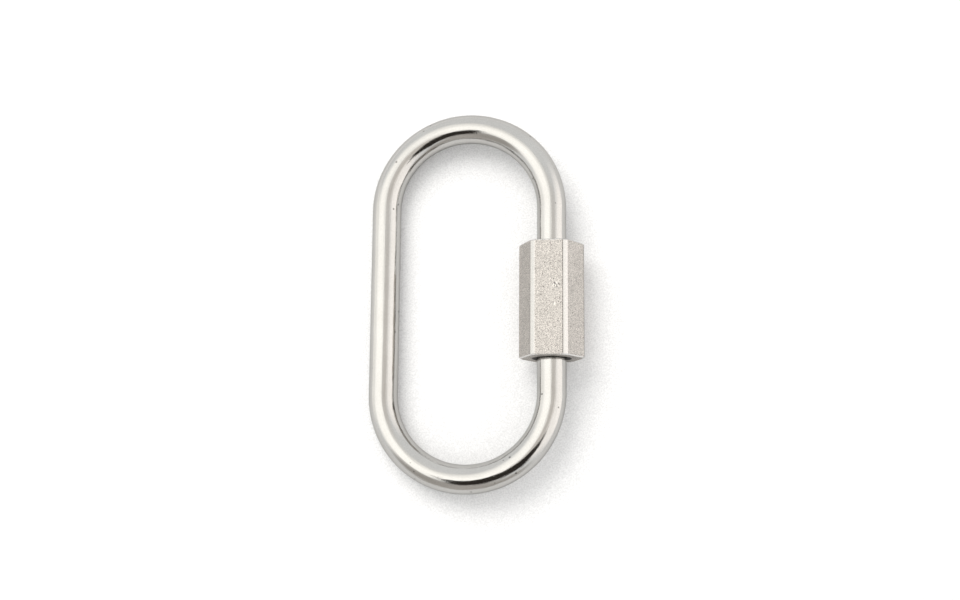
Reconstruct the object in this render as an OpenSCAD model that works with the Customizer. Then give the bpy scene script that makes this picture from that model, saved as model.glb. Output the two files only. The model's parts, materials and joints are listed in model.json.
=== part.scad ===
// Screw-lock oval link: a bar bent into an oval loop, with a gap in one straight side.
// A hexagonal sleeve on the bar's threaded ends closes the gap, and unscrews along -Y to open it.
// Millimetres. The loop lies in the XY plane, long axis along Y, with its centre at the origin.

/* [Bar] */
// Diameter of the round bar
bar_d = 3.5; // [3.3:0.05:3.6]
// Radius of each half-circle bend, measured to the middle of the bar
bend_r = 10; // [9:0.5:14]
// Length of the plain straight side, between the bends
straight_len = 22.6; // [21.6:0.2:34]
// How much farther out the gated side is than the plain one, which makes that half of each bend wider
gate_bow = 0.2; // [0:0.05:0.4]

/* [Thread] */
// Outside diameter of the rolled thread on the bar ends
thread_d = 3.94; // [3.9:0.01:3.96]
// Advance of the sleeve in one turn
thread_pitch = 0.7; // [0.7:0.01:0.72]
// Height of the rolled ridge
ridge_height = 0.43; // [0.4:0.01:0.43]

/* [Sleeve] */
// Length of the sleeve
sleeve_len = 13.7; // [13.4:0.1:15]
// Distance across opposite spanner flats
across_flats = 7; // [6.9:0.1:7.4]
// Diameter of the round stock that the flats are milled on, which leaves a narrow land at each corner
stock_d = 7.75; // [7.7:0.05:8.05]
// Clear gap between the bar ends when the sleeve is open
gate_gap = 3.5; // [3:0.1:3.6]
// Whole turns from closed to open
turns_to_open = 8; // [7:1:8]
// Where the middle of the closed sleeve is along the gated side
gate_y = -0.3; // [-0.4:0.1:0.4]

/* [Hidden] */
$fn = 64;

bar_r = bar_d / 2;
half_straight = straight_len / 2;
gate_r = bend_r + gate_bow;
half_gate_side = half_straight - gate_bow;

// Bar ends, along Y from the middle of the closed sleeve
travel = turns_to_open * thread_pitch;
flush = 0.05;
long_end_y = sleeve_len / 2 - travel - flush;
short_end_y = long_end_y + gate_gap;
thread_inset = 0.45;
thread_end_y = sleeve_len / 2 - thread_inset;
end_chamfer = 0.25;

// Thread form: a 60 degree ridge with a flat crest, sunk a little into what it stands on
flank = tan(30);
sink = 0.04;
steps_per_turn = 24;
run_out_steps = 8;
core_r = thread_d / 2 - ridge_height;
bar_crest_w = thread_pitch / 8;
sleeve_crest_w = 0.1;
groove_r = 2.04;
sleeve_crest_r = 1.65;

// Sleeve bore, along Y from its middle
clear_bore_r = 2.05;
mouth_chamfer = 0.3;
lip_len = 0.5;
ring_pocket_r = 2.63;
ring_clearance = 0.05;
ring_end_clearance = 0.05;
groove_start_y = travel - thread_end_y;
pocket_end_y = groove_start_y - lip_len;
pocket_start_y = lip_len - sleeve_len / 2;

// Chamfer turned on the sleeve's outer corners
corner_chamfer_r = 0.2;
corner_chamfer_len = 0.12;

// Lays a shape that was drawn along +Z along the gated side's axis, from the middle of the closed sleeve
module on_gate_axis() {
    translate([gate_r, gate_y, 0])
        rotate([-90, 0, 0])
            children();
}

// A straight round length on the gated side, from y0 to y1
module gate_round(radius, y0, y1) {
    on_gate_axis()
        translate([0, 0, y0])
            cylinder(h = y1 - y0, r = radius);
}

// A cone on the gated side, from radius r0 at y0 to radius r1 at y1
module gate_cone(r0, y0, r1, y1) {
    on_gate_axis()
        translate([0, 0, y0])
            cylinder(h = y1 - y0, r1 = r0, r2 = r1);
}

// A quarter of a bend, from an angle of 0 on the gated side
module quarter_bend(radius, centre_y, from_angle) {
    translate([0, centre_y, 0])
        rotate([0, 0, from_angle])
            rotate_extrude(angle = 90)
                translate([radius, 0])
                    circle(r = bar_r);
}

// Height of the ridge above its base: it tapers to nothing at both ends of the helix
function ridge_share(i, last) = min(1, (i + 0.5) / run_out_steps, (last - i + 0.5) / run_out_steps);

// The four corners of the ridge at one step, base and crest, where z is the height of its middle
function ridge_corners(z, share, base_r, crest_r, crest_w, phase) =
    let (
        a = 360 * z / thread_pitch + phase,
        top_r = base_r + (crest_r - base_r) * share,
        base_w = crest_w + 2 * abs(crest_r - base_r) * flank
    ) [
        [base_r * cos(a), base_r * sin(a), z - base_w / 2],
        [top_r * cos(a), top_r * sin(a), z - crest_w / 2],
        [top_r * cos(a), top_r * sin(a), z + crest_w / 2],
        [base_r * cos(a), base_r * sin(a), z + base_w / 2]
    ];

// A right-hand helical ridge between y0 and y1. It stands outward if crest_r is over base_r, else inward.
module helical_ridge(y0, y1, base_r, crest_r, crest_w, phase) {
    base_w = crest_w + 2 * abs(crest_r - base_r) * flank;
    rise = thread_pitch / steps_per_turn;
    first = ceil((y0 + base_w / 2) / rise);
    last = floor((y1 - base_w / 2) / rise) - first;
    outward = crest_r > base_r;
    points = [
        for (i = [0:last])
            each ridge_corners((first + i) * rise, ridge_share(i, last), base_r, crest_r, crest_w, phase)
    ];
    sides = [
        for (i = [0:last - 1], j = [0:3])
            let (a = 4 * i + j, b = 4 * i + (j + 1) % 4, c = b + 4, d = a + 4)
                each outward ? [[a, b, c], [a, c, d]] : [[c, b, a], [d, c, a]]
    ];
    start = outward ? [[0, 3, 2], [0, 2, 1]] : [[2, 3, 0], [1, 2, 0]];
    end = [for (t = start) [for (k = [2:-1:0]) t[k] + 4 * last]];
    on_gate_axis()
        polyhedron(points = points, faces = concat(sides, start, end));
}

module ridge_on_bar(y0, y1) {
    helical_ridge(y0, y1, core_r - sink, thread_d / 2, bar_crest_w, 0);
}

module bent_bar() {
    color([0.80, 0.79, 0.76]) {
        translate([-bend_r, -half_straight, 0])
            rotate([-90, 0, 0])
                cylinder(h = straight_len, r = bar_r);
        quarter_bend(gate_r, half_gate_side, 0);
        quarter_bend(bend_r, half_straight, 90);
        quarter_bend(bend_r, -half_straight, 180);
        quarter_bend(gate_r, -half_gate_side, 270);
        gate_round(bar_r, -half_gate_side - gate_y, -thread_end_y);
        gate_round(core_r, -thread_end_y, long_end_y - end_chamfer);
        gate_cone(core_r, long_end_y - end_chamfer, core_r - end_chamfer, long_end_y);
        gate_cone(core_r - end_chamfer, short_end_y, core_r, short_end_y + end_chamfer);
        gate_round(core_r, short_end_y + end_chamfer, thread_end_y);
        gate_round(bar_r, thread_end_y, half_gate_side - gate_y);
    }
}

module long_end_thread() {
    color([0.74, 0.73, 0.70])
        ridge_on_bar(-thread_end_y, long_end_y - end_chamfer);
}

module short_end_thread() {
    color([0.74, 0.73, 0.70])
        ridge_on_bar(short_end_y + end_chamfer, thread_end_y);
}

// A hexagonal prism with two flats parallel to the loop, cut back at its corners and ends
module hex_stock() {
    across_corners = across_flats / cos(30);
    on_gate_axis()
        translate([0, 0, -sleeve_len / 2])
            cylinder(h = sleeve_len, d = across_corners, $fn = 6);
}

module turned_outline() {
    stock_r = stock_d / 2;
    end_r = stock_r - corner_chamfer_r;
    end_y = sleeve_len / 2;
    shoulder_y = end_y - corner_chamfer_len;
    on_gate_axis()
        rotate_extrude()
            polygon([
                [0, -end_y], [end_r, -end_y], [stock_r, -shoulder_y],
                [stock_r, shoulder_y], [end_r, end_y], [0, end_y]
            ]);
}

module hex_sleeve() {
    past = 1;
    end_y = sleeve_len / 2;
    color([0.70, 0.68, 0.65])
        difference() {
            intersection() {
                hex_stock();
                turned_outline();
            }
            gate_round(clear_bore_r, -end_y - past, pocket_start_y + past);
            gate_round(ring_pocket_r, pocket_start_y, pocket_end_y);
            gate_round(clear_bore_r, pocket_end_y - past, groove_start_y);
            gate_round(groove_r, groove_start_y - past, end_y + past);
            gate_cone(clear_bore_r + mouth_chamfer, -end_y, clear_bore_r, mouth_chamfer - end_y);
            gate_cone(groove_r, end_y - mouth_chamfer, groove_r + mouth_chamfer, end_y);
        }
}

module sleeve_thread() {
    color([0.66, 0.65, 0.62])
        helical_ridge(
            groove_start_y, sleeve_len / 2 - mouth_chamfer,
            groove_r + sink, sleeve_crest_r, sleeve_crest_w, 180
        );
}

// The smooth wall of the unthreaded half of the bore
module bore_ring() {
    outer_r = ring_pocket_r - ring_clearance;
    y0 = pocket_start_y + ring_end_clearance;
    y1 = pocket_end_y - ring_end_clearance;
    color([0.62, 0.61, 0.58])
        difference() {
            gate_round(outer_r, y0, y1);
            gate_round(clear_bore_r, y0 - 1, y1 + 1);
        }
}

bent_bar();
long_end_thread();
short_end_thread();
hex_sleeve();
sleeve_thread();
bore_ring();
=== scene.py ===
"""A screw-lock oval link lying on a pale table: a bent bar with threaded ends, and a hexagonal sleeve."""

import json
import math

import bpy
import numpy as np
from mathutils import Matrix, Vector


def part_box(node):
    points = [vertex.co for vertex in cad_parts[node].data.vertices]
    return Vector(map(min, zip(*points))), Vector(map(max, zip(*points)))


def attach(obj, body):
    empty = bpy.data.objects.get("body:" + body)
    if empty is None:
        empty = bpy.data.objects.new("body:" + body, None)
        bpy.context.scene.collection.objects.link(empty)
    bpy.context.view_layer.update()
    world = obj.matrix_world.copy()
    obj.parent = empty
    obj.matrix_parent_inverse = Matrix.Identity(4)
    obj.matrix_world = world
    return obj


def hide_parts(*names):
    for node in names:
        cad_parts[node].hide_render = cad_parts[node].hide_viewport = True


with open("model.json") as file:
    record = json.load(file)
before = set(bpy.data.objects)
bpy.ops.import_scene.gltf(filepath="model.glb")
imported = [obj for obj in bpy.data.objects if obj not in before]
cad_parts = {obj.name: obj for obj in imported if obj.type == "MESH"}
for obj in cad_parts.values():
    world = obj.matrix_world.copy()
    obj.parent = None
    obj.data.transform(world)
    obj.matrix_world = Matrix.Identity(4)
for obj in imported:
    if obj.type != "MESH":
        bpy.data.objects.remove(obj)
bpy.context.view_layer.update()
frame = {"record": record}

MM = 0.001
MM_PER_M = 1000
TURN = 2 * math.pi

# ---------------------------------------------------------------- sizes, from the CAD frame

bar_low, bar_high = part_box("bent_bar")
BAR_R = bar_high.z
BEND_R = -bar_low.x - BAR_R
GATE_R = bar_high.x - BAR_R
HALF_STRAIGHT = bar_high.y - BAR_R - BEND_R
HALF_GATE_SIDE = bar_high.y - BAR_R - GATE_R

sleeve_low, sleeve_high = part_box("hex_sleeve")
SLEEVE_END = (sleeve_high.y - sleeve_low.y) / 2
FLAT_R = sleeve_high.z
LAND_R = sleeve_high.x - GATE_R

# Heights along the gated side are from the middle of the closed sleeve
GATE_Y = (sleeve_high.y + sleeve_low.y) / 2

long_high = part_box("long_end_thread")[1]
short_low, short_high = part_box("short_end_thread")
THREAD_R = long_high.z
THREAD_STOP = short_high.y - GATE_Y
END_CHAMFER = 0.25 * MM
LONG_END = long_high.y - GATE_Y + END_CHAMFER
SHORT_END = short_low.y - GATE_Y - END_CHAMFER

nut_low, nut_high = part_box("sleeve_thread")
GROOVE_R = 2.04 * MM
NUT_CREST_R = 1.65 * MM
NUT_START = nut_low.y - GATE_Y
NUT_STOP = nut_high.y - GATE_Y

ring_low, ring_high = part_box("bore_ring")
POCKET_GAP = 0.05 * MM
POCKET_R = ring_high.z + POCKET_GAP
RING_START = ring_low.y - GATE_Y
RING_STOP = ring_high.y - GATE_Y
POCKET_START = RING_START - POCKET_GAP
POCKET_STOP = RING_STOP + POCKET_GAP
BORE_R = 2.05 * MM

# One turn of the sleeve moves it by one pitch
RATIO = frame["record"]["behaviour"]["couplings"][0]["ratio"]
PITCH = TURN / RATIO
RIDGE_H = 0.43 * MM
ROOT_R = THREAD_R - RIDGE_H
BAR_CREST_W = PITCH / 8
NUT_CREST_W = 0.1 * MM
FLANK = math.tan(math.radians(30))
CREST_ROUNDING = 0.25


# ---------------------------------------------------------------- small shape functions

def smoothstep(low, high, x):
    t = np.clip((x - low) / (high - low), 0.0, 1.0)
    return t * t * (3.0 - 2.0 * t)


def soft_min(a, b, width):
    """The lower of a and b, rounded off where they are within width of each other."""
    h = np.maximum(width - np.abs(a - b), 0.0) / width
    return np.minimum(a, b) - h * h * width / 4.0


def ridge(angle, y, phase, base_w, crest_w):
    """(height from 0 to 1, y of the ridge's middle) of a right-hand 60 degree thread."""
    centre_shift = PITCH * (angle + phase) / TURN
    off = np.mod(y - centre_shift + PITCH / 2, PITCH) - PITCH / 2
    slope = (base_w / 2 - np.abs(off)) / ((base_w - crest_w) / 2)
    height = soft_min(np.clip(slope, 0.0, 2.0), 1.0, CREST_ROUNDING)
    return np.clip(height, 0.0, 1.0), y - off


def gate_points(radius, angle, y):
    """Points at radii and angles round the axis of the gated side, at heights y along it."""
    x = GATE_R + radius * np.cos(angle)
    z = -radius * np.sin(angle)
    return np.stack([x, GATE_Y + y + 0 * angle, z], axis=-1)


def steps(start, stop, size):
    """Evenly spaced values from start to stop, both included, no more than size apart."""
    return np.linspace(start, stop, max(2, int(math.ceil(abs(stop - start) / size)) + 1))


def grid_mesh(name, rows, loop, uv_rows, uv_cols):
    """A mesh over rows of points. Each row closes on itself, and the rows too if loop is set;
    otherwise the first and last rows are closed with a face."""
    points = np.array(rows)
    n_rows, n_cols = points.shape[:2]
    faces = []
    for j in range(n_rows if loop else n_rows - 1):
        k = (j + 1) % n_rows
        for i in range(n_cols):
            m = (i + 1) % n_cols
            faces.append((j * n_cols + i, j * n_cols + m, k * n_cols + m, k * n_cols + i))
    if not loop:
        faces.append(tuple(range(n_cols))[::-1])
        faces.append(tuple((n_rows - 1) * n_cols + i for i in range(n_cols)))
    mesh = bpy.data.meshes.new(name)
    mesh.from_pydata(points.reshape(-1, 3).tolist(), [], faces)
    uv = mesh.uv_layers.new(name="surface").data
    for f, poly in enumerate(mesh.polygons):
        j, i = divmod(f, n_cols)
        quad = len(poly.vertices) == 4 and f < len(faces) - (0 if loop else 2)
        for c, corner in enumerate(poly.loop_indices):
            if quad:
                row = j + (1 if c in (2, 3) else 0)
                col = i + (1 if c in (1, 2) else 0)
                uv[corner].uv = (uv_cols[col], uv_rows[row])
    mesh.validate()
    mesh.update()
    obj = bpy.data.objects.new(name, mesh)
    bpy.context.scene.collection.objects.link(obj)
    bpy.context.view_layer.objects.active = obj
    volume = signed_volume(mesh)
    if volume < 0:
        mesh.flip_normals()
    mesh.shade_smooth()
    return obj


def signed_volume(mesh):
    mesh.calc_loop_triangles()
    co = np.array([v.co for v in mesh.vertices])
    tri = np.array([t.vertices for t in mesh.loop_triangles])
    a, b, c = co[tri[:, 0]], co[tri[:, 1]], co[tri[:, 2]]
    return float(np.einsum("ij,ij->i", a, np.cross(b, c)).sum() / 6)


# ---------------------------------------------------------------- the bent bar

BAR_COLUMNS = 96
BEND_ROWS = 72
STRAIGHT_STEP = 1.2 * MM
THREAD_STEP = PITCH / 14
CAP_STEP = 0.1 * MM
CAP_CENTRE_R = 0.15 * MM
CAP_SHARES = (0.5, 0.8, 0.94)
TIP_ROUNDING = 0.06 * MM


def thread_radius(angle, y, end_y):
    """Radius of a threaded bar end at (angle, y), where end_y is the y of its tip."""
    base_w = BAR_CREST_W + 2 * RIDGE_H * FLANK
    height, centre = ridge(angle, y, 0.0, base_w, BAR_CREST_W)
    # the thread fades out on the plain bar over a turn, and starts at the tip's chamfer. Known fault: at both
    # ends of the travel the sleeve's crests cut up to 0.095 mm into the part that fades out, out of sight.
    away = THREAD_STOP - np.abs(centre)
    threaded = smoothstep(0.0, PITCH, away)
    radius = BAR_R + (ROOT_R + RIDGE_H * height - BAR_R) * threaded
    tip_r = ROOT_R - END_CHAMFER + np.abs(y - end_y)
    return soft_min(radius, tip_r, TIP_ROUNDING)


def bar_rows():
    """Rings of points from the tip of the long end, round the loop, to the tip of the short end."""
    around = np.linspace(0.0, TURN, BAR_COLUMNS, endpoint=False)
    rows, lengths = [], []

    def add(points, step):
        lengths.append(lengths[-1] + step if lengths else 0.0)
        rows.append(points)

    def cap(end_y, radii):
        for r in radii:
            add(gate_points(np.full(BAR_COLUMNS, r), -around, np.full(BAR_COLUMNS, end_y)), CAP_STEP)

    tip_r = ROOT_R - END_CHAMFER
    face_radii = [CAP_CENTRE_R] + [share * tip_r for share in CAP_SHARES]
    cap(LONG_END, face_radii)
    for y in steps(LONG_END, -THREAD_STOP, THREAD_STEP):
        radius = thread_radius(-around, np.full(BAR_COLUMNS, y), LONG_END)
        add(gate_points(radius, -around, np.full(BAR_COLUMNS, y)), THREAD_STEP)
    for y in steps(-THREAD_STOP, -HALF_GATE_SIDE - GATE_Y, STRAIGHT_STEP)[1:]:
        add(gate_points(np.full(BAR_COLUMNS, BAR_R), -around, np.full(BAR_COLUMNS, y)), STRAIGHT_STEP)
    bend_step = math.pi * BEND_R / BEND_ROWS
    for side, first in ((-1, 0.0), (1, math.pi)):
        for k in range(1, BEND_ROWS + 1):
            turn = first - math.pi * k / BEND_ROWS
            on_gate_side = math.cos(turn) > 0
            reach = (GATE_R if on_gate_side else BEND_R) + BAR_R * np.cos(around)
            middle = side * (HALF_GATE_SIDE if on_gate_side else HALF_STRAIGHT)
            x = reach * math.cos(turn)
            y = middle + reach * math.sin(turn)
            add(np.stack([x, y, BAR_R * np.sin(around)], -1), bend_step)
        if side < 0:
            for y in steps(-HALF_STRAIGHT, HALF_STRAIGHT, STRAIGHT_STEP)[1:]:
                x = -BEND_R - BAR_R * np.cos(around)
                add(np.stack([x, y + 0 * around, BAR_R * np.sin(around)], -1), STRAIGHT_STEP)
    for y in steps(HALF_GATE_SIDE - GATE_Y, THREAD_STOP, STRAIGHT_STEP)[1:]:
        add(gate_points(np.full(BAR_COLUMNS, BAR_R), -around, np.full(BAR_COLUMNS, y)), STRAIGHT_STEP)
    for y in steps(THREAD_STOP, SHORT_END, THREAD_STEP)[1:]:
        radius = thread_radius(-around, np.full(BAR_COLUMNS, y), SHORT_END)
        add(gate_points(radius, -around, np.full(BAR_COLUMNS, y)), THREAD_STEP)
    cap(SHORT_END, face_radii[::-1])
    return rows, lengths


def make_bar():
    rows, lengths = bar_rows()
    across = np.linspace(0.0, TURN * BAR_R, BAR_COLUMNS + 1)
    return grid_mesh("bar", rows, False, np.array(lengths) * MM_PER_M, across * MM_PER_M)


# ---------------------------------------------------------------- the sleeve

SIXTH = math.pi / 3
EDGE_SOFTNESS = 0.025 * MM
EDGE_BREAK = 0.09 * MM
CORNER_CHAMFER_R = 0.2 * MM
CORNER_CHAMFER_LEN = 0.12 * MM
MOUTH_CHAMFER = 0.3 * MM
FACE_INSET = 0.06 * MM
FACE_SHARES = (0.02, 0.08, 0.3, 0.6, 0.85, 0.97, 1.0)
EDGE_ZONE = 1.2 * EDGE_BREAK
PLAIN_SHARE = 0.97
PLAIN_STEP = 0.5 * MM
CHAMFER_STEP = 0.25
GROOVE_END_STEP = 0.05 * MM
LAND_HALF = math.acos(FLAT_R / LAND_R)
LAND_EDGE = math.pi / 6 - LAND_HALF
# The points round the sleeve are closest between these shares of the angle to the edge of a corner land
FINE_FROM, FINE_TO = 0.8, 1.35
LAND_COLUMNS, EDGE_COLUMNS, FLAT_COLUMNS = 5, 9, 9


def sleeve_angles():
    """Angles round the sleeve, closer together at the edges of each corner land."""
    half = np.concatenate([
        np.linspace(0.0, LAND_EDGE * FINE_FROM, LAND_COLUMNS, endpoint=False),
        np.linspace(LAND_EDGE * FINE_FROM, LAND_EDGE * FINE_TO, EDGE_COLUMNS, endpoint=False),
        np.linspace(LAND_EDGE * FINE_TO, math.pi / 6, FLAT_COLUMNS),
    ])
    sixth = np.concatenate([-half[:0:-1], half[:-1]])
    return np.concatenate([sixth + k * SIXTH for k in range(6)])


def hex_radius(angle, y):
    """Radius of the outside of the sleeve: six flats on round stock, chamfered and with broken end edges."""
    from_corner = np.abs(np.mod(angle + SIXTH / 2, SIXTH) - SIXTH / 2)
    flat = FLAT_R / np.cos(SIXTH / 2 - from_corner)
    from_end = SLEEVE_END - np.abs(y)
    cone = LAND_R - CORNER_CHAMFER_R * (1.0 - from_end / CORNER_CHAMFER_LEN)
    side = soft_min(flat, LAND_R, EDGE_SOFTNESS)
    return np.minimum(soft_min(side, cone, EDGE_SOFTNESS), side - EDGE_BREAK + from_end)


def nut_radius(angle, y):
    """Radius of the threaded half of the bore."""
    base_w = NUT_CREST_W + 2 * (GROOVE_R - NUT_CREST_R) * FLANK
    height, centre = ridge(angle, y, math.pi, base_w, NUT_CREST_W)
    share = smoothstep(0.0, PITCH / 2, centre - NUT_START) * smoothstep(0.0, PITCH / 2, NUT_STOP - centre)
    return GROOVE_R - (GROOVE_R - NUT_CREST_R) * height * share


def sleeve_rows(angles):
    """Rings of points up the outside, over the far end face, down the bore and back over the near one."""
    rows, kinds = [], []

    def add(kind, radius, y):
        rows.append(gate_points(radius + 0 * angles, angles, y + 0 * angles))
        kinds.append(kind)

    edge_rows = [SLEEVE_END - d for d in steps(0.0, 2 * EDGE_BREAK, EDGE_BREAK / 3)]
    inner = PLAIN_SHARE * edge_rows[-1]
    for y in [-y for y in edge_rows] + list(steps(-inner, inner, PLAIN_STEP)) + edge_rows[::-1]:
        add("edge" if abs(y) > SLEEVE_END - EDGE_ZONE else "outside", hex_radius(angles, y), y)
    rim = hex_radius(angles, SLEEVE_END)

    def end_face(side, mouth_r):
        """Rings from the rim to the mouth at the far end, where side is 1, and back at the near end."""
        for t in FACE_SHARES[::side]:
            reach = mouth_r + FACE_INSET / 2 - rim + FACE_INSET
            add("face", rim - FACE_INSET + reach * t, side * SLEEVE_END)

    end_face(1, GROOVE_R + MOUTH_CHAMFER)
    for t in steps(0.0, 1.0, CHAMFER_STEP)[1:]:
        add("mouth", GROOVE_R + MOUTH_CHAMFER * (1 - t), SLEEVE_END - MOUTH_CHAMFER * t)
    for y in steps(SLEEVE_END - MOUTH_CHAMFER, NUT_START, THREAD_STEP)[1:]:
        add("bore", nut_radius(angles, y), y)
    add("bore", BORE_R, NUT_START - GROOVE_END_STEP)
    for r, y in ((BORE_R, POCKET_STOP + FACE_INSET), (BORE_R, POCKET_STOP),
                 (POCKET_R, POCKET_STOP), (POCKET_R, POCKET_STOP - FACE_INSET),
                 (POCKET_R, POCKET_START + FACE_INSET), (POCKET_R, POCKET_START),
                 (BORE_R, POCKET_START), (BORE_R, POCKET_START - FACE_INSET)):
        add("bore", r, y)
    for t in steps(0.0, 1.0, CHAMFER_STEP):
        add("mouth", BORE_R + MOUTH_CHAMFER * t, -SLEEVE_END + MOUTH_CHAMFER * (1 - t))
    end_face(-1, BORE_R + MOUTH_CHAMFER)
    return rows, kinds


def make_sleeve():
    """The sleeve, with material 0 on its flats and end faces, 1 on its corner lands and edges, with a painted
    highlight on the end edges, and 2, far darker as painted shade, in its bore and mouths.
    Its UVs are sixths of a turn from the middle of a corner, and millimetres along from the middle."""
    angles = sleeve_angles()
    rows, kinds = sleeve_rows(angles)
    along = [(row[0][1] - GATE_Y) * MM_PER_M for row in rows + rows[:1]]
    closed = np.append(angles, angles[0] + TURN)
    obj = grid_mesh("sleeve", rows, True, along, closed / SIXTH)
    n_cols = len(angles)
    middles = (closed[1:] + closed[:-1]) / 2
    from_corner = np.abs(np.mod(middles + SIXTH / 2, SIXTH) - SIXTH / 2)
    on_land = from_corner < LAND_EDGE
    for f, poly in enumerate(obj.data.polygons):
        j, i = divmod(f, n_cols)
        ends = {kinds[j], kinds[(j + 1) % len(kinds)]}
        if "bore" in ends or "mouth" in ends:
            poly.material_index = 2
        elif "edge" in ends or (on_land[i] and ends == {"outside"}):
            poly.material_index = 1
    return obj


RING_COLUMNS = 96
RING_ROUNDING = 0.03 * MM
RING_UV_STEP = 0.2
RING_UV_AROUND = 13


def make_bore_ring():
    """The plain wall of the unthreaded half of the bore."""
    inner_r, outer_r = BORE_R, ring_high.z
    soft = RING_ROUNDING
    low, high = RING_START, RING_STOP
    around = np.linspace(0.0, TURN, RING_COLUMNS, endpoint=False)
    outline = [(outer_r, y) for y in steps(low + soft, high - soft, PLAIN_STEP)]
    outline += [(outer_r - soft, high), (inner_r + soft, high)]
    outline += [(inner_r, y) for y in steps(high - soft, low + soft, PLAIN_STEP)]
    outline += [(inner_r + soft, low), (outer_r - soft, low)]
    rows = [gate_points(np.full(RING_COLUMNS, r), around, np.full(RING_COLUMNS, y)) for r, y in outline]
    uv_rows = np.arange(len(rows) + 1) * RING_UV_STEP
    return grid_mesh("bore_wall", rows, True, uv_rows, np.linspace(0, RING_UV_AROUND, RING_COLUMNS + 1))


# ---------------------------------------------------------------- materials

# Scuffs on the sleeve: (middle, half-size), in its UVs
SCUFFS = [((4.73, 1.4), (0.17, 0.45)), ((4.68, -0.85), (0.06, 0.30))]

# How dark the steel's reflections get towards its edges, and how noise in space is turned
EDGE_TINT = (0.66, 0.66, 0.66, 1)
NOISE_TURN = (0.5, 0.8, 0.3)

# Millimetres from the ends of the sleeve to the inside of the painted highlight on its end edges, and how
# soft that border is
END_BAND = 0.11
END_BAND_SOFTNESS = 0.02
# Half the width of the painted shade hairline beside a corner land, in sixths of a turn
HAIRLINE_HALF = 0.010
# The share of the steel's colour that is left in that painted shade hairline
PAINTED_HAIRLINE_SHADE = 0.40
# Scale of the finest grain, in features a metre
FINE_GRAIN = 6500.0


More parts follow.
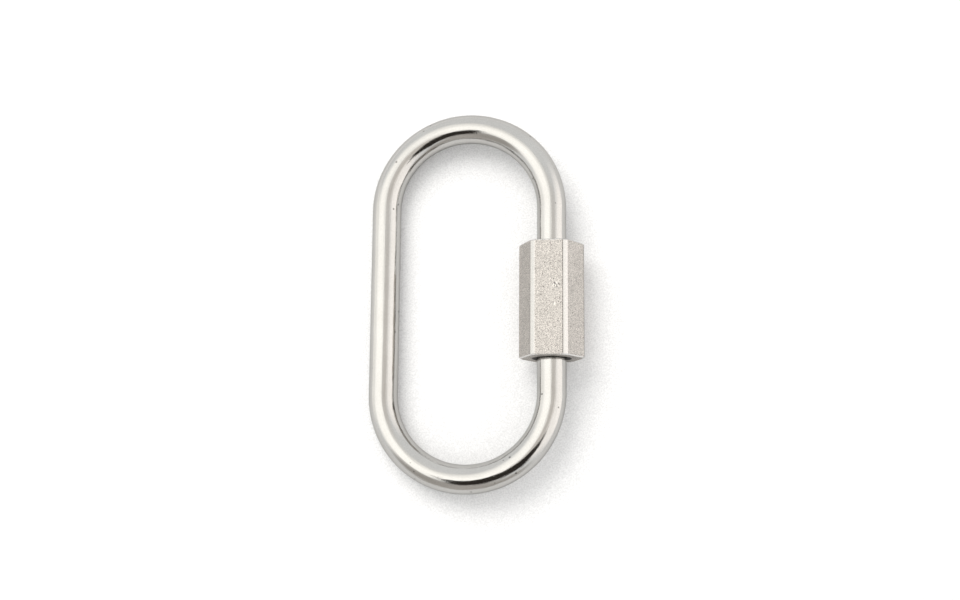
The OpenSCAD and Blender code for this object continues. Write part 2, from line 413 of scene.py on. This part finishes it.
class Steel:
    """Builds one steel material out of nodes."""

    def __init__(self, name):
        self.material = bpy.data.materials.new(name)
        self.material.use_nodes = True
        self.tree = self.material.node_tree
        self.shader = self.tree.nodes["Principled BSDF"]
        self.shader.inputs["Metallic"].default_value = 1.0
        self.shader.inputs["Specular Tint"].default_value = EDGE_TINT
        self.place = self.tree.nodes.new("ShaderNodeTexCoord")

    def node(self, kind, **values):
        made = self.tree.nodes.new(kind)
        for key, value in values.items():
            if hasattr(made, key):
                setattr(made, key, value)
            else:
                made.inputs[key.replace("_", " ").title()].default_value = value
        return made

    def link(self, a, b):
        self.tree.links.new(a, b)

    def noise(self, scale, detail=2.0, rough=0.5, stretch=None, space="Object"):
        """A noise value about 0.5, with scale features a metre, drawn out where stretch is under 1.
        Noise in space is turned, so that no flat face lies along its cells."""
        made = self.node("ShaderNodeTexNoise", Scale=scale, Detail=detail, Roughness=rough)
        mapping = self.node("ShaderNodeMapping")
        mapping.inputs["Scale"].default_value = stretch or (1.0, 1.0, 1.0)
        if space == "Object":
            mapping.inputs["Rotation"].default_value = NOISE_TURN
        self.link(self.place.outputs[space], mapping.inputs["Vector"])
        self.link(mapping.outputs["Vector"], made.inputs["Vector"])
        return made.outputs["Fac"]

    def ranged(self, value, low, high, from_low=0.3, from_high=0.7):
        made = self.node("ShaderNodeMapRange")
        for key, number in (("From Min", from_low), ("From Max", from_high),
                            ("To Min", low), ("To Max", high)):
            made.inputs[key].default_value = number
        self.link(value, made.inputs["Value"])
        return made.outputs["Result"]

    def ramp(self, value, low_colour, high_colour, from_low=0.3, from_high=0.7):
        made = self.node("ShaderNodeValToRGB")
        made.color_ramp.elements[0].position = from_low
        made.color_ramp.elements[1].position = from_high
        made.color_ramp.elements[0].color = (*low_colour, 1)
        made.color_ramp.elements[1].color = (*high_colour, 1)
        self.link(value, made.inputs["Fac"])
        return made.outputs["Color"]

    def blend(self, kind, factor, a, b):
        made = self.node("ShaderNodeMix", data_type="RGBA", blend_type=kind)
        made.inputs[0].default_value = factor
        self.link(a, made.inputs[6])
        self.link(b, made.inputs[7])
        return made.outputs[2]

    def add(self, a, b):
        made = self.node("ShaderNodeMath", operation="ADD")
        self.link(a, made.inputs[0])
        self.link(b, made.inputs[1])
        return made.outputs[0]

    def dots(self, scale, core, rim):
        """1 in small round spots, scale to a metre, and 0 between them."""
        cells = self.node("ShaderNodeTexVoronoi", Scale=scale)
        self.link(self.place.outputs["Object"], cells.inputs["Vector"])
        return self.ranged(cells.outputs["Distance"], 1.0, 0.0, core, rim)

    def darken(self, colour, mask, share):
        """The colour, cut down to a share of itself where the mask is 1."""
        dimmed = self.node("ShaderNodeMix", data_type="RGBA", blend_type="MULTIPLY")
        dimmed.inputs[0].default_value = 1.0
        self.link(colour, dimmed.inputs[6])
        dimmed.inputs[7].default_value = (share, share, share, 1)
        return self.pick(mask, colour, dimmed.outputs[2])

    def pick(self, mask, a, b):
        """Colour a where the mask is 0, and b where it is 1."""
        picked = self.node("ShaderNodeMix", data_type="RGBA")
        self.link(mask, picked.inputs[0])
        self.link(a, picked.inputs[6])
        self.link(b, picked.inputs[7])
        return picked.outputs[2]

    def uv(self):
        apart = self.node("ShaderNodeSeparateXYZ")
        self.link(self.place.outputs["UV"], apart.inputs[0])
        return apart.outputs

    def painted_highlight_edge(self):
        """1 on the broken edges at both ends of the sleeve, which get a painted highlight."""
        height = self.node("ShaderNodeMath", operation="ABSOLUTE")
        self.link(self.uv()["Y"], height.inputs[0])
        rim = SLEEVE_END * MM_PER_M - END_BAND
        return self.ranged(height.outputs[0], 0.0, 1.0, rim - END_BAND_SOFTNESS, rim + END_BAND_SOFTNESS)

    def painted_shade_line(self):
        """1 on a hairline of painted shade down one side of each corner land of the sleeve."""
        wrapped = self.node("ShaderNodeMath", operation="WRAP")
        self.link(self.uv()["X"], wrapped.inputs[0])
        wrapped.inputs[1].default_value = 0.5
        wrapped.inputs[2].default_value = -0.5
        off = self.node("ShaderNodeMath", operation="COMPARE")
        self.link(wrapped.outputs[0], off.inputs[0])
        off.inputs[1].default_value = -LAND_EDGE / SIXTH
        off.inputs[2].default_value = HAIRLINE_HALF
        return off.outputs[0]

    def bruise(self, colour):
        """The colour, with two small scuffs on the sleeve's front flat."""
        flecks = self.noise(1.0, 1.0, stretch=(18.0, 2.6, 1.0), space="UV")
        marks = self.ramp(flecks, (0.05, 0.047, 0.045), (0.76, 0.73, 0.69), 0.40, 0.54)
        for middle, reach in SCUFFS:
            away = self.node("ShaderNodeVectorMath", operation="SUBTRACT")
            self.link(self.place.outputs["UV"], away.inputs[0])
            away.inputs[1].default_value = (*middle, 0)
            scaled = self.node("ShaderNodeVectorMath", operation="DIVIDE")
            self.link(away.outputs[0], scaled.inputs[0])
            scaled.inputs[1].default_value = (*reach, 1)
            length = self.node("ShaderNodeVectorMath", operation="LENGTH")
            self.link(scaled.outputs[0], length.inputs[0])
            mask = self.ranged(length.outputs["Value"], 0.9, 0.0, 0.45, 1.0)
            colour = self.pick(mask, colour, marks)
        return colour

    def bump(self, heights):
        """Bumps in turn, from (height, distance in metres, strength)."""
        normal = None
        for height, distance, strength in heights:
            made = self.node("ShaderNodeBump")
            made.inputs["Distance"].default_value = distance
            made.inputs["Strength"].default_value = strength
            self.link(height, made.inputs["Height"])
            if normal:
                self.link(normal, made.inputs["Normal"])
            normal = made.outputs["Normal"]
        self.link(normal, self.shader.inputs["Normal"])


def polished_bar():
    steel = Steel("satin_bar_steel")
    cloudy = steel.noise(260.0, 3.0)
    fine = steel.noise(FINE_GRAIN, 2.0)
    drawn = steel.noise(1.0, 2.0, 0.6, stretch=(7.0, 0.3, 1.0), space="UV")
    rubbed = steel.noise(1.0, 2.0, 0.6, stretch=(0.5, 9.0, 1.0), space="UV")
    tint = steel.ramp(cloudy, (0.475, 0.466, 0.448), (0.505, 0.497, 0.48))
    grain = steel.ramp(fine, (0.93, 0.93, 0.93), (1.0, 1.0, 1.0))
    tint = steel.blend("MULTIPLY", 1.0, tint, grain)
    pits = steel.dots(620.0, 0.065, 0.10)
    steel.link(steel.darken(tint, pits, 0.45), steel.shader.inputs["Base Color"])
    wear = steel.add(steel.ranged(cloudy, 0.0, 0.02), steel.ranged(drawn, 0.065, 0.12))
    steel.link(wear, steel.shader.inputs["Roughness"])
    steel.bump([(drawn, 0.018 * MM, 0.6), (rubbed, 0.004 * MM, 0.6), (fine, 0.002 * MM, 0.6)])
    return steel.material


def blasted_flat():
    steel = Steel("blasted_sleeve_steel")
    grain = steel.noise(12700.0, 0.0)
    coarse = steel.noise(9000.0, 1.0)
    cloudy = steel.noise(320.0, 2.0)
    base = steel.ramp(grain, (0.33, 0.31, 0.292), (0.71, 0.673, 0.632), 0.38, 0.62)
    shade = steel.ramp(cloudy, (0.93, 0.93, 0.93), (1.0, 1.0, 1.0))
    base = steel.blend("MULTIPLY", 1.0, base, shade)
    base = steel.darken(base, steel.dots(2100.0, 0.09, 0.14), 0.20)
    # Painted shade: a dark hairline down one side of each corner land.
    base = steel.darken(base, steel.painted_shade_line(), PAINTED_HAIRLINE_SHADE)
    base = steel.bruise(base)
    steel.link(base, steel.shader.inputs["Base Color"])
    steel.link(steel.ranged(coarse, 0.40, 0.52), steel.shader.inputs["Roughness"])
    steel.bump([(coarse, 0.006 * MM, 0.3), (grain, 0.006 * MM, 1.0)])
    return steel.material


def polished_land():
    steel = Steel("corner_land_steel")
    fine = steel.noise(FINE_GRAIN, 2.0)
    tint = steel.ramp(fine, (0.49, 0.48, 0.46), (0.57, 0.56, 0.54))
    # Painted highlight: a much brighter steel colour on the end edges, over the land's colour with its
    # painted shade hairline.
    painted_highlight = steel.ramp(fine, (0.68, 0.67, 0.65), (0.80, 0.79, 0.77))
    tint = steel.pick(steel.painted_highlight_edge(), steel.darken(tint, steel.painted_shade_line(), PAINTED_HAIRLINE_SHADE), painted_highlight)
    steel.link(tint, steel.shader.inputs["Base Color"])
    steel.link(steel.ranged(fine, 0.18, 0.28), steel.shader.inputs["Roughness"])
    steel.bump([(fine, 0.003 * MM, 0.6)])
    return steel.material


def shaded_bore_wall():
    steel = Steel("painted_shade_bore_steel")
    rings = steel.noise(1.0, 3.0, 0.6, stretch=(300.0, 9000.0, 300.0))
    # Painted shade: the bore and the mouths of the sleeve get a colour far darker than the steel's own, for
    # the shade inside the hole; the rings are machining marks.
    tint = steel.ramp(rings, (0.05, 0.048, 0.045), (0.14, 0.135, 0.13))
    steel.link(tint, steel.shader.inputs["Base Color"])
    steel.link(steel.ranged(rings, 0.25, 0.40), steel.shader.inputs["Roughness"])
    steel.bump([(rings, 0.004 * MM, 0.5)])
    return steel.material


# ---------------------------------------------------------------- table, light and camera

TABLE_HALF = 2.0
TABLE_NOISE = 6000.0
TABLE_SHADES = (0.80, 0.96)
TILT_ROUNDS = 8

# How bright the surroundings are outside the soft lights, then what lights the table and what the camera sees
BASE_LEVEL = 1.18
TABLE_LIGHT = (0.94, 0.94, 0.935, 1.0)
BACKDROP = (0.83, 0.83, 0.825, 1.0)

KEY_PLACE = Vector((-95, 160, 237)) * MM
KEY_SIZE = 240 * MM
KEY_ENERGY = 0.54
KEY_COLOUR = (1.0, 0.98, 0.95)

# The dark card by the camera, in millimetres in the camera's own directions: its middle and half-sides
CARD_MIDDLE = Vector((5, -132, 110))
CARD_ACROSS = Vector((140, 0, 0))
CARD_UP = Vector((0, 98, 0))
CARD_COLOUR = (1.0, 0.85, 0.72)
CARD_STRENGTH = 0.04

# The link as the camera has it: degrees about the camera's X, Y and Z, and the place of the loop's centre
LINK_TILT, LINK_LEAN, LINK_ROLL = -10.31, -8.88, -0.48
LINK_PLACE = Vector((-1.576, -0.069, -161.8)) * MM
LENS = 50.62


def plane(name, middle, across, up, material):
    """A rectangle with half-sides across and up, facing along their cross product."""
    middle, across, up = Vector(middle), Vector(across), Vector(up)
    corners = [middle - across - up, middle + across - up, middle + across + up, middle - across + up]
    mesh = bpy.data.meshes.new(name)
    mesh.from_pydata([tuple(c) for c in corners], [], [(0, 1, 2, 3)])
    mesh.materials.append(material)
    obj = bpy.data.objects.new(name, mesh)
    bpy.context.scene.collection.objects.link(obj)
    return obj


def table_tilt():
    """The link lies on the sleeve and on the far side of the bar, so the table is at an angle to the loop."""
    span = BEND_R + GATE_R
    edge = math.sqrt(LAND_R ** 2 - FLAT_R ** 2)
    tilt = 0.0
    for _ in range(TILT_ROUNDS):
        support = FLAT_R * math.cos(tilt) + edge * math.sin(tilt)
        tilt = math.asin((support - BAR_R) / span)
    return tilt


def make_table():
    material = bpy.data.materials.new("white_table")
    material.use_nodes = True
    tree = material.node_tree
    shader = tree.nodes["Principled BSDF"]
    place = tree.nodes.new("ShaderNodeTexCoord")
    noise = tree.nodes.new("ShaderNodeTexNoise")
    noise.inputs["Scale"].default_value = TABLE_NOISE
    tree.links.new(place.outputs["Object"], noise.inputs["Vector"])
    ramp = tree.nodes.new("ShaderNodeValToRGB")
    for element, position, shade in zip(ramp.color_ramp.elements, (0.35, 0.65), TABLE_SHADES):
        element.position = position
        element.color = (shade, shade, shade, 1)
    tree.links.new(noise.outputs["Fac"], ramp.inputs["Fac"])
    tree.links.new(ramp.outputs["Color"], shader.inputs["Base Color"])
    shader.inputs["Roughness"].default_value = 0.9
    shader.inputs["Specular IOR Level"].default_value = 0.0
    tilt = table_tilt()
    across = Vector((math.cos(tilt), 0.0, -math.sin(tilt)))
    normal = Vector((math.sin(tilt), 0.0, math.cos(tilt)))
    touch = Vector((-BEND_R, 0.0, 0.0)) - normal * BAR_R
    return plane("table", touch, across * TABLE_HALF, Vector((0, TABLE_HALF, 0)), material)


def glow(name, colour, strength):
    material = bpy.data.materials.new(name)
    material.use_nodes = True
    tree = material.node_tree
    tree.nodes.clear()
    emission = tree.nodes.new("ShaderNodeEmission")
    emission.inputs["Color"].default_value = (*colour, 1)
    emission.inputs["Strength"].default_value = strength
    output = tree.nodes.new("ShaderNodeOutputMaterial")
    tree.links.new(emission.outputs[0], output.inputs["Surface"])
    return material


def reflected_card(name, middle, across, up, colour, strength):
    """A studio card that shows only in reflections."""
    card = plane(name, middle, across, up, glow(name, colour, strength))
    card.visible_camera = False
    card.visible_diffuse = False
    card.visible_shadow = False
    card.visible_transmission = False
    return card


def make_camera_card(view):
    """The dark camera that the polished steel reflects."""
    place, turn = view
    reflected_card("camera_body", place + turn @ CARD_MIDDLE * MM, turn @ CARD_ACROSS * MM,
                   turn @ CARD_UP * MM, CARD_COLOUR, CARD_STRENGTH)


def toward(view, lean, clock):
    """The direction lean degrees off the camera's own, clock degrees round from the picture's right."""
    lean, clock = math.radians(lean), math.radians(clock)
    aside = math.sin(lean)
    return view[1] @ Vector((aside * math.cos(clock), aside * math.sin(clock), math.cos(lean)))


# Soft light round the link: (lean, clock, full out to, gone by, strength, colour)
GREY = (0.99, 1.0, 1.0)
WARM = (1.0, 0.985, 0.95)
PINK = (1.0, 0.965, 0.935)
BROWN = (1.0, 0.95, 0.89)
SOFT_LIGHTS = [
    (10, 0, 0, 40, 1.04, BROWN),
    (36, 134, 0, 26, 1.50, WARM),
    (44, 166, 4, 41, 2.12, WARM),
    (86, 170, 2, 22, 1.62, WARM),
    (25, 172, 4, 24, 2.15, WARM),
    (66, 5, 6, 48, 1.92, PINK),
    (38, 345, 0, 27, 1.75, PINK),
    (62, 250, 12, 44, 0.68, BROWN),
    (60, 222, 2, 28, 0.60, BROWN),
    (74, 290, 2, 26, 0.60, BROWN),
]


def make_world(view):
    world = bpy.data.worlds.new("studio")
    bpy.context.scene.world = world
    world.use_nodes = True
    tree = world.node_tree
    background = tree.nodes["Background"]
    place = tree.nodes.new("ShaderNodeTexCoord")
    path = tree.nodes.new("ShaderNodeLightPath")

    def mix_colour(factor, a, b):
        made = tree.nodes.new("ShaderNodeMix")
        made.data_type = "RGBA"
        tree.links.new(factor, made.inputs[0])
        for value, socket in ((a, made.inputs[6]), (b, made.inputs[7])):
            if isinstance(value, tuple):
                socket.default_value = value
            else:
                tree.links.new(value, socket)
        return made.outputs[2]

    colour = tuple(c * BASE_LEVEL for c in GREY) + (1.0,)
    for lean, clock, full, gone, strength, tint in SOFT_LIGHTS:
        dot = tree.nodes.new("ShaderNodeVectorMath")
        dot.operation = "DOT_PRODUCT"
        dot.inputs[1].default_value = toward(view, lean, clock)
        tree.links.new(place.outputs["Generated"], dot.inputs[0])
        edge = tree.nodes.new("ShaderNodeMapRange")
        edge.interpolation_type = "SMOOTHSTEP"
        edge.inputs["From Min"].default_value = math.cos(math.radians(gone))
        edge.inputs["From Max"].default_value = math.cos(math.radians(full))
        tree.links.new(dot.outputs["Value"], edge.inputs["Value"])
        colour = mix_colour(edge.outputs["Result"], colour, tuple(c * strength for c in tint) + (1.0,))
    colour = mix_colour(path.outputs["Is Diffuse Ray"], colour, TABLE_LIGHT)
    colour = mix_colour(path.outputs["Is Camera Ray"], colour, BACKDROP)
    tree.links.new(colour, background.inputs["Color"])


def make_key_light():
    light = bpy.data.lights.new("key", "AREA")
    light.shape = "DISK"
    light.size = KEY_SIZE
    light.energy = KEY_ENERGY
    light.color = KEY_COLOUR
    obj = bpy.data.objects.new("key", light)
    bpy.context.scene.collection.objects.link(obj)
    obj.location = KEY_PLACE
    obj.rotation_euler = (-KEY_PLACE).to_track_quat("-Z", "Y").to_euler()
    obj.visible_glossy = False
    obj.visible_camera = False


def make_camera():
    """A camera over the link, a little to the sleeve's side and to the side that it opens towards.
    The result is its place and turn."""
    data = bpy.data.cameras.new("camera")
    data.sensor_width = 36.0
    data.lens = LENS
    data.clip_start = 0.01
    data.clip_end = 10.0
    camera = bpy.data.objects.new("camera", data)
    bpy.context.scene.collection.objects.link(camera)
    tilt, lean, roll = math.radians(LINK_TILT), math.radians(LINK_LEAN), math.radians(LINK_ROLL)
    link_turn = Matrix.Rotation(roll, 3, "Z") @ Matrix.Rotation(tilt, 3, "X") @ Matrix.Rotation(lean, 3, "Y")
    turn = link_turn.transposed()
    place = turn @ -LINK_PLACE
    camera.matrix_world = Matrix.Translation(place) @ turn.to_4x4()
    bpy.context.scene.camera = camera
    return place, turn


# ---------------------------------------------------------------- the scene

def dress(obj, materials, body, slot, *nodes):
    for material in materials:
        obj.data.materials.append(material)
    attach(obj, body)
    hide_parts(*nodes)


view = make_camera()
make_world(view)
make_key_light()
make_camera_card(view)
make_table()

dress(make_bar(), [polished_bar()], "link", "bar_steel", "bent_bar", "long_end_thread", "short_end_thread")
dress(make_sleeve(), [blasted_flat(), polished_land(), shaded_bore_wall()], "sleeve", "sleeve_steel",
      "hex_sleeve", "sleeve_thread")
# The plain bore wall shares the bore's darkened material, painted shade.
dress(make_bore_ring(), [bpy.data.materials["painted_shade_bore_steel"]], "bore", "bore_steel", "bore_ring")

bpy.context.scene.view_settings.view_transform = "Standard"
